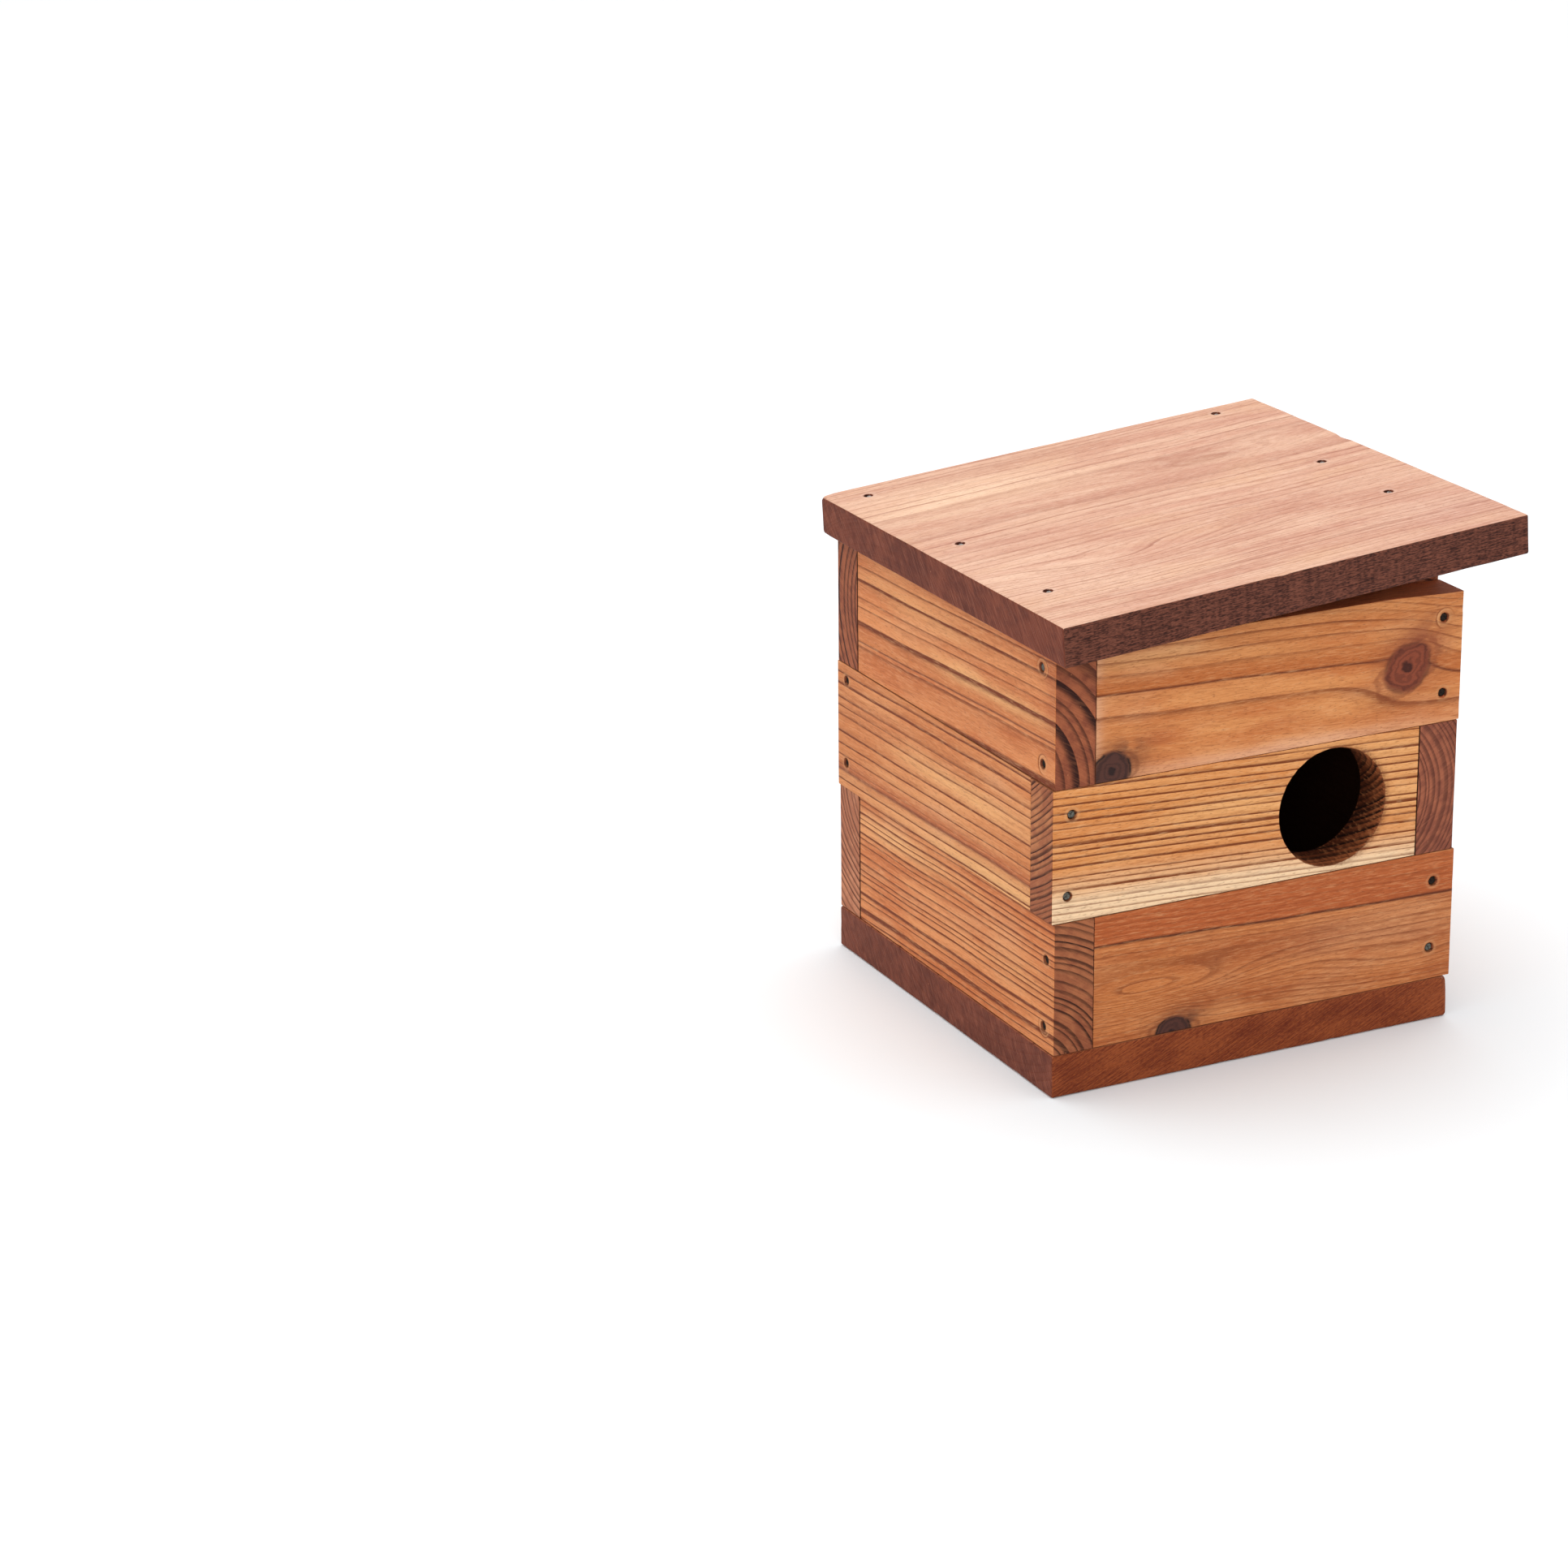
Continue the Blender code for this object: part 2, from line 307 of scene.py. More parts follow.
def calc(operation, *values):
    tree = next(v.tree for v in values if isinstance(v, Field))
    node = tree.nodes.new("ShaderNodeMath")
    node.operation = operation
    for socket, value in zip(node.inputs, values):
        feed(socket, value)
    return Field(tree, node.outputs[0])


def smooth(low, high, value):
    """0 below low, 1 above high, and an S-curve between."""
    node = value.tree.nodes.new("ShaderNodeMapRange")
    node.interpolation_type = "SMOOTHSTEP"
    feed(node.inputs["Value"], value)
    node.inputs["From Min"].default_value = low
    node.inputs["From Max"].default_value = high
    return Field(value.tree, node.outputs["Result"])


def bell(value):
    """A bell curve: 1 where value is 0, and 0.37 where it is 1."""
    return calc("EXPONENT", value * value * -1)


def hypot(a, b):
    return calc("SQRT", a * a + b * b)


def at(x, y, z):
    tree = next(v.tree for v in (x, y, z) if isinstance(v, Field))
    node = tree.nodes.new("ShaderNodeCombineXYZ")
    for socket, value in zip(node.inputs, (x, y, z)):
        feed(socket, value)
    return Field(tree, node.outputs[0])


def cloud(point, detail=2.0, rough=0.5):
    """Noise from about -0.5 to 0.5."""
    node = point.tree.nodes.new("ShaderNodeTexNoise")
    node.inputs["Scale"].default_value = 1
    node.inputs["Detail"].default_value = detail
    node.inputs["Roughness"].default_value = rough
    feed(node.inputs["Vector"], point)
    return Field(point.tree, node.outputs["Fac"]) - 0.5


def dice(value):
    """A random number from 0 to 1 for each whole number."""
    node = value.tree.nodes.new("ShaderNodeTexWhiteNoise")
    node.noise_dimensions = "1D"
    feed(node.inputs["W"], value)
    return Field(value.tree, node.outputs["Value"])


def blend(a, b, amount):
    """Colour a turning into colour b as amount goes from 0 to 1."""
    node = amount.tree.nodes.new("ShaderNodeMix")
    node.data_type = "RGBA"
    feed(node.inputs[0], amount)
    feed(node.inputs[6], a)
    feed(node.inputs[7], b)
    return Field(amount.tree, node.outputs[2])


def new_material(name):
    material = bpy.data.materials.new(name)
    material.use_nodes = True
    return material, material.node_tree, material.node_tree.nodes["Principled BSDF"]


def place_on(tree, output, axis, offset, scale):
    """How far a surface point lies along an axis, from an offset."""
    coordinates = tree.nodes.new("ShaderNodeTexCoord")
    dot = tree.nodes.new("ShaderNodeVectorMath")
    dot.operation = "DOT_PRODUCT"
    tree.links.new(coordinates.outputs[output], dot.inputs[0])
    dot.inputs[1].default_value = axis
    return (Field(tree, dot.outputs["Value"]) - offset) * scale


def finish_surface(tree, shader, colour, rough, height, depth):
    feed(shader.inputs["Base Color"], colour)
    feed(shader.inputs["Roughness"], rough)
    bump = tree.nodes.new("ShaderNodeBump")
    bump.inputs["Strength"].default_value = 0.6
    bump.inputs["Distance"].default_value = depth * MM
    feed(bump.inputs["Height"], height)
    tree.links.new(bump.outputs["Normal"], shader.inputs["Normal"])


# --- cedar ---
ENTRANCE_RADIUS = 26.0
# painted shade in the nails' holes, and the stain round them
HOLE_SHADE_AND_STAIN = (0.020, 0.010, 0.007)
# painted shade on the inner faces, inside the closed box
INSIDE_SHADE = (0.040, 0.014, 0.007)
# the colour that darkens the face round the right side of the entrance's rim
RIGHT_RIM_DARK = (0.15, 0.042, 0.012)
BORE_MOUTH = (0.39, 0.112, 0.038)
# painted shade deep in the entrance's wall
BORE_DEEP_SHADE = (0.108, 0.026, 0.010)
BORE_LATE = (0.012, 0.004, 0.003)
BORE_GOUGE = (0.018, 0.005, 0.003)
BORE_SPLINTER = (0.66, 0.260, 0.100)
CEDAR_SHINE = 0.14
CEDAR_ROUGHNESS = 0.52


class Wood:
    """The fields of one plank's wood, from which its colours are mixed.

    The year rings are cylinders round a pith line, so that the lines on a face and the arcs on an
    end are one figure.
    """

    def __init__(self, tree, plank, look):
        self.plank = plank
        self.look = look
        self.seed = look["seed"]
        self.l, self.w, self.t = (place_on(tree, "Object", axis, plank.origin @ axis, 1 / MM)
                                  for axis in plank.axes)
        self.slow = self.cloud(105, 42, 1.0)
        self.middling = self.cloud(34, 8, 2.0)
        self.mottle = self.cloud(7, 5, 3.0)
        self.warp = self.cloud(11, 9, 1.0)
        self.fibre = self.cloud(6.5, 0.60, 3.0, 0.6)
        self.dash = smooth(0.10, 0.22, self.cloud(2.6, 0.42, 1.0))
        self.bend_grain()
        self.grow_rings()
        fine = look["fine"]
        self.streak = cloud(at(self.l / 55 + self.seed, self.v / fine, self.t / fine), 3.0, 0.65)

    def cloud(self, along, through, detail, rough=0.5, shift=0):
        """Noise stretched along the grain, from its size along the grain and through it."""
        place = at(self.l / along + (self.seed + shift), self.w / through, self.t / through)
        return cloud(place, detail, rough)

    def bend_grain(self):
        """The grain's height across the face: v is what the rings follow, and level has no hills."""
        look = self.look
        level = self.w + self.l * look["slope"] + self.slow * look["wave"] + self.middling * look["ripple"]
        if look["drop"]:
            start, end, fall = look["drop"]
            level = level + smooth(start, end, self.l) * fall
        v = level
        for hill_l, hill_w, reach_l, reach_w, height in look["hills"]:
            v = v + bell(hypot((self.l - hill_l) / reach_l, (self.w - hill_w) / reach_w)) * height
        self.v = self.part_round_knots(v)
        self.level = self.part_round_knots(level)

    def part_round_knots(self, v):
        """Pushes the grain apart round each knot."""
        look = self.look
        for kl, kw, a, b, _, _ in look["knots"]:
            near = bell(hypot((self.l - kl) / (1.7 * a), (self.w - kw) / (1.6 * b))) * look["knot_push"]
            v = v - (v - (kw + look["slope"] * kl)) * near
        return v

    def grow_rings(self):
        """Late wood on a face and on an end, from how far a point is through its year ring."""
        look = self.look
        spacing = look["spacing"]
        radius = hypot(self.v - look["pith"][0], self.t - look["pith"][1])
        uneven = cloud(at(radius / spacing * 0.55 + self.seed, self.seed, 0.5), 1.0) * look["uneven"]
        turn = radius / spacing + uneven
        phase = calc("FRACT", turn)
        odd = dice(calc("FLOOR", turn) + self.seed)
        fade = cloud(at(self.l / 36 + self.seed, self.v / 2.2, self.t / 2.2), 2.0) * 1.8 + 1
        late = smooth(look["thin"], 0.92, phase) * (1 - smooth(0.96, 1.0, phase))
        self.late = late * (odd * 0.80 + 0.40) * fade + phase * phase * look["rise"]
        self.late_end = smooth(0.40, 0.86, phase) * (1 - smooth(0.95, 1.0, phase)) * (odd * 0.5 + 0.6)
        self.phase = phase
        self.odd = odd

    def rim(self):
        """1 along the edges, where two faces meet, and 0 elsewhere."""
        rim = None
        for place, size in zip((self.l, self.w, self.t), self.plank.size):
            side = calc("MINIMUM", place, size - place)
            near = 1 - smooth(0.0, 1.1, side + self.mottle * 1.6)
            rim = near if rim is None else rim + near - 1
        return calc("MAXIMUM", calc("MINIMUM", rim, 1.0), 0.0)


def paint_knots(colour, wood):
    """Knots: a dark core, uneven rings, an outline cracked in places, and dark grain round them."""
    look, mottle, warp = wood.look, wood.mottle, wood.warp
    for kl, kw, a, b, lean, (light, dark, halo, crack) in look["knots"]:
        c, s = math.cos(math.radians(lean)), math.sin(math.radians(lean))
        x = ((wood.l - kl) * c + (wood.w - kw) * s) / a
        y = ((wood.w - kw) * c - (wood.l - kl) * s) / b
        out = hypot(x, y) + mottle * 0.30 + warp * 0.40
        flow = hypot(x / 1.45, y) + warp * 0.25
        waves = smooth(0.30, 0.95, calc("SINE", flow * 15 + mottle * 9) * 0.5 + 0.5)
        colour = blend(colour, look["late"], waves * bell((flow - 0.98) / 0.26) * halo * 0.65)
        smear = bell(hypot((x - 0.85) / 1.15, (y - 0.55) / 0.85)) * smooth(-0.26, 0.10, mottle + warp)
        colour = blend(colour, light, smear * halo)
        colour = blend(colour, light, bell(out / 1.22) * halo)
        rings = smooth(0.30, 0.95, calc("SINE", out * 18 + mottle * 10 + warp * 6) * 0.5 + 0.5)
        core = 1 - smooth(0.10, 0.30, out)
        edge = bell((out - 0.88) / 0.15)
        inside = blend(light, dark, calc("MINIMUM", rings * 0.36 + core * 0.95 + edge * 0.30, 1.0))
        colour = blend(colour, inside, 1 - smooth(0.84, 1.14, out))
        split = bell((out - 1.0) / 0.075) * smooth(-0.12, 0.05, mottle + warp) * crack
        colour = blend(colour, look["knot_line"], split)
    return colour


def paint_patches(colour, wood):
    """Soft stretches of wood of another tone."""
    for patch_l, patch_w, reach_l, reach_w, tone, amount in wood.look["patches"]:
        x = (wood.l - patch_l) / reach_l + wood.streak * 1.2
        y = (wood.w - patch_w) / reach_w + wood.middling * 1.6
        colour = blend(colour, tone, bell(hypot(x, y)) * amount)
    return colour


def paint_nail_holes(colour, wood, spots, dents):
    """Darkens the wood with painted shade in each nail's hole and a stain round it, adds a pale ring
    outside that, and paints shade and highlight along the ring that a hammer left.
    """
    look = wood.look
    for nail_l, nail_w in spots:
        away = hypot(wood.l - nail_l, wood.w - nail_w)
        colour = blend(colour, look["glow"], bell((away - 3.1) / 0.6) * 0.20)
        # painted shade: near black inside the nail's hole, and a wider faint darkening round it as stain
        colour = blend(colour, HOLE_SHADE_AND_STAIN, (1 - smooth(1.85, 2.6, away)) * look["hole_dark"])
        colour = blend(colour, HOLE_SHADE_AND_STAIN, bell(away / 3.4) * look["hole_dark"] * 0.20)
    for centre_l, centre_w, reach, opening in dents:
        x = wood.l - centre_l
        y = wood.w - centre_w
        away = hypot(x, y)
        part = (x * math.cos(opening) + y * math.sin(opening)) / away * 0.5 + 0.5
        # painted shade just outside the hammer's ring and painted highlight just inside it, strongest where
        # the ring is deepest
        colour = blend(colour, look["late"], bell((away - reach - 0.25) / 0.30) * part * 0.75)
        colour = blend(colour, look["glow"], bell((away - reach + 0.45) / 0.35) * part * 0.45)
    return colour


def entrance_centre(plank):
    low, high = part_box(ENTRANCE_BOARD)
    return plank.local(Vector((ENTRANCE_X, low.y, (low.z + high.z) / 2)))


def paint_bore(colour, wood):
    """The wall of the entrance, with painted shade that darkens it the deeper it goes, and the face darker
    round the right side of its rim.
    """
    l, w, t, phase = wood.l, wood.w, wood.t, wood.phase
    centre = entrance_centre(wood.plank)
    grit = cloud(at(l / 1.4, w / 0.9, t / 3.5), 3.0, 0.65)
    late = smooth(0.25, 0.75, phase) * (1 - smooth(0.93, 1.0, phase)) * (wood.odd * 0.5 + 0.5)
    # painted shade: the wall turns from the mouth colour to the darker deep colour the deeper it goes into
    # the hole
    wall = blend(BORE_MOUTH, BORE_DEEP_SHADE, smooth(0.0, 17.0, t + grit * 6))
    wall = blend(wall, BORE_LATE, late)
    wall = blend(wall, BORE_GOUGE, calc("MAXIMUM", grit * 4.0 - 0.10, 0.0))
    wall = blend(wall, BORE_SPLINTER, calc("MAXIMUM", grit * -3.0 - 0.14, 0.0))
    away = hypot(l - centre[0], w - centre[1])
    # the face darker in patches round the right side of the rim
    right_rim_dark = bell((away - ENTRANCE_RADIUS) / 2.2) * smooth(-16.0, 22.0, l - centre[0])
    colour = blend(colour, RIGHT_RIM_DARK, right_rim_dark * smooth(-0.30, 0.20, grit))
    return blend(colour, wall, 1 - smooth(ENTRANCE_RADIUS + 0.1, ENTRANCE_RADIUS + 0.5, away))


def paint_face(wood, spots, dents):
    """The colour of a broad face, and how much late wood shows there."""
    look, level, streak, fibre = wood.look, wood.level, wood.streak, wood.fibre
    late = wood.late
    tone = smooth(-0.16, 0.16, wood.cloud(75, 12, 2.0))
    blush = smooth(0.0, 0.22, wood.cloud(60, 22, 2.0, shift=11))
    face = blend(look["light"], look["deep"], tone)
    face = blend(face, look["blush"], blush * 0.6)
    face = paint_patches(face, wood)
    for sap_level, reach, sap in look["sap"]:
        rise = level + wood.middling * 6 + streak * 5
        pale = 1 - smooth(sap_level - reach, sap_level + reach, rise)
        face = blend(face, sap, pale)
        late = late * (1 - pale * 0.30)
    for at_level, wide, amount, band, band_colour, line_colour in look["accents"]:
        away = level - at_level
        above = smooth(-0.3, 0.3, away) * (1 - smooth(band * 0.15, band, away + streak * 4))
        face = blend(face, band_colour, above)
        late = late * (1 - above * 0.5)
        face = blend(face, line_colour, bell(away / wide) * amount)
    face = blend(face, look["late"], late * look["line"])
    face = blend(face, look["late"], calc("MAXIMUM", streak * look["streak"] + fibre * 1.0, 0.0))
    face = blend(face, look["glow"], calc("MAXIMUM", (streak * 0.7 + fibre * 1.3) * -1.1, 0.0))
    face = blend(face, look["late"], wood.dash * look["dash"])
    face = paint_knots(face, wood)
    face = paint_nail_holes(face, wood, spots, dents)
    # painted shade: the inner face, where the box is dark inside, turns near black
    if look["inside"]:
        thick = wood.plank.size[2]
        face = blend(face, INSIDE_SHADE, smooth(thick - 1.2, thick - 0.6, wood.t))
    return face, late


def paint_edge(wood):
    """The colour of a long narrow side, and the saw marks on it."""
    look, l, w, t = wood.look, wood.l, wood.w, wood.t
    tilt = look["hatch"]
    saw = cloud(at(l / 7 + t * tilt * 0.4, w / 9, (t + l * tilt) / 0.55), 2.0)
    saw = saw + cloud(at(l / 1.7, w / 2, (t + l * tilt) / 0.42), 1.0) * 0.8
    stain = cloud(at(l / 26 + wood.seed, w / 20, t / 14), 2.0)
    band = cloud(at(l / 2.4 + wood.seed, w / 9, t / 30), 2.0)
    pale, dark = look["edge"]
    mix = smooth(-0.26, 0.26, saw * look["saw"] - stain * look["stain"] + band * look["band"])
    return paint_knots(blend(pale, dark, mix), wood), saw


def paint_end(wood):
    """The colour of the end grain, and its height."""
    look, l, w, t = wood.look, wood.l, wood.w, wood.t
    speck = cloud(at(l / 0.5, w / 0.42, t / 0.42 + wood.seed), 2.0, 0.7)
    scratch = cloud(at(w / 0.7 + t / 1.1, t / 16 - w / 11, wood.seed), 3.0, 0.6)
    fleck = smooth(0.24, 0.30, cloud(at(l / 1.1, w / 1.1 + wood.seed, t / 1.1), 1.0))
    pale, dark, late, torn = look["end"]
    end = blend(pale, dark, smooth(-0.2, 0.2, wood.mottle + wood.slow))
    end = blend(end, late, wood.late_end * look["end_line"])
    end = blend(end, late, calc("MAXIMUM", speck * 0.8 + scratch * look["scratch"], 0.0))
    end = blend(end, torn, calc("MAXIMUM", scratch * look["scratch"] * -1.0, 0.0))
    end = blend(end, torn, fleck * 0.8)
    return end, speck * 0.5 + scratch * 0.8 - wood.late_end * 0.3


def cedar(name, plank, look, spots, dents):
    """A board's wood: its broad faces, narrow sides and end grain, worn along the edges."""
    material, tree, shader = new_material(name)
    wood = Wood(tree, plank, look)
    on_end, on_edge = (smooth(0.60, 0.76, calc("ABSOLUTE", place_on(tree, "Normal", axis, 0, 1)))
                       for axis in plank.axes[:2])
    face, late = paint_face(wood, spots, dents)
    edge, saw = paint_edge(wood)
    end, end_height = paint_end(wood)
    colour = blend(blend(face, edge, on_edge), end, on_end)
    colour = blend(colour, look["worn"], wood.rim() * 0.28)
    if plank.node == ENTRANCE_BOARD:
        colour = paint_bore(colour, wood)
    rough = CEDAR_ROUGHNESS + wood.fibre * 0.16 + late * 0.08 + on_end * 0.14 + on_edge * 0.10
    height = wood.fibre * 0.55 - late * 0.30 - wood.dash * 0.5
    height = height * (1 - on_end) + end_height * on_end
    height = height + saw * on_edge * look["saw"] * 1.1
    finish_surface(tree, shader, colour, rough, height, 0.30)
    shader.inputs["Specular IOR Level"].default_value = CEDAR_SHINE
    return material


# A look's settings.  Places and sizes are millimetres, and colours are linear red, green and blue.
#   light, deep, blush     the face's main tones
#   late, glow, worn       late wood, pale streaks, and the wear along the edges
#   edge                   the two tones of the long narrow sides
#   end                    end grain: its two tones, its late wood and its torn fibres
#   pith, spacing, uneven  the rings' centre (across, inward), their width and how much it varies
#   thin, rise, line       where late wood starts in a ring, its soft start, and its strength
#   slope, wave, ripple    the grain's slope, and how far it bends over long and short stretches
#   drop                   where along the board the grain falls: from, to, and how far
#   hills                  bulges of the rings: along, across, reach along, reach across, height
#   knots                  along, across, half length, half width, lean in degrees, kind of knot
#   knot_push, knot_line   how far the grain parts round a knot, and the colour of its crack
#   accents                single strong lines: grain height, half width, strength, width of the
#                          band above the line, that band's colour, the line's colour
#   sap                    paler wood low on the board: grain height, half width of the change, colour
#   patches                along, across, reach along, reach across, colour, strength
#   streak, fine, dash     streaks' strength and width, and the strength of the short dark pores
#   saw, hatch, stain, band  saw marks on the narrow sides, their slant, and blotches along them
#   end_line, scratch      strength of the arcs and of the scratches on the end grain
#   ease, chips            radius of the edges, and how much they are chipped
#   nicks                  along, across, reach, depth
#   worn_corners           where the upper edge is worn down: along, reach, depth
#   dents                  which nails have a hammer's ring, and at which angle it is deepest
#   step                   between the mesh lines of the flat stretches
#   hole_dark, inside      how dark the painted shade and stain in the nails' holes are, and whether the inner face is painted dark as shade
#   seed                   tells one board's noise from another's
ORANGE = {
    "light": (0.62, 0.245, 0.085), "deep": (0.53, 0.170, 0.048), "blush": (0.64, 0.280, 0.120),
    "late": (0.170, 0.034, 0.009), "glow": (0.78, 0.40, 0.18), "worn": (0.26, 0.075, 0.030),
    "knot_line": (0.022, 0.009, 0.007), "thin": 0.70,
    "edge": ((0.30, 0.110, 0.045), (0.19, 0.06, 0.022)),
    "end": ((0.34, 0.098, 0.042), (0.22, 0.058, 0.028), (0.028, 0.007, 0.005), (0.42, 0.150, 0.065)),
    "pith": (-20, -30), "spacing": 4.5, "uneven": 1.3, "slope": 0.0, "wave": 4.0, "ripple": 0.5,
    "line": 0.85, "streak": 1.0, "end_line": 1.0, "saw": 0.5, "knots": (), "accents": (),
    "ease": 0.42, "chips": 0.5, "step": 4.0, "dents": {}, "seed": 1, "worn_corners": (),
    "hole_dark": 0.97, "inside": True, "fine": 2.0, "dash": 0.32, "knot_push": 0.6, "nicks": (),
    "hills": (), "patches": (), "sap": (), "rise": 0.26, "hatch": 0.0, "stain": 0.5, "band": 0.0,
    "scratch": 1.1, "drop": None,
}

# Kinds of knot: light and dark colour, strength of the halo, strength of the crack round it.
KNOT_RED = ((0.228, 0.052, 0.024), (0.056, 0.012, 0.007), 0.62, 0.35)
KNOT_GREY = ((0.078, 0.028, 0.020), (0.024, 0.010, 0.009), 0.62, 1.0)

SAPWOOD = (0.88, 0.62, 0.38)
PINK_SAP = (0.80, 0.46, 0.24)
RED_BAND = (0.425, 0.101, 0.027)
GOLD = (0.84, 0.45, 0.18)
RUST = (0.43, 0.115, 0.034)


def varied(**changes):
    """The common orange wood with some settings changed."""
    return {**ORANGE, **changes}


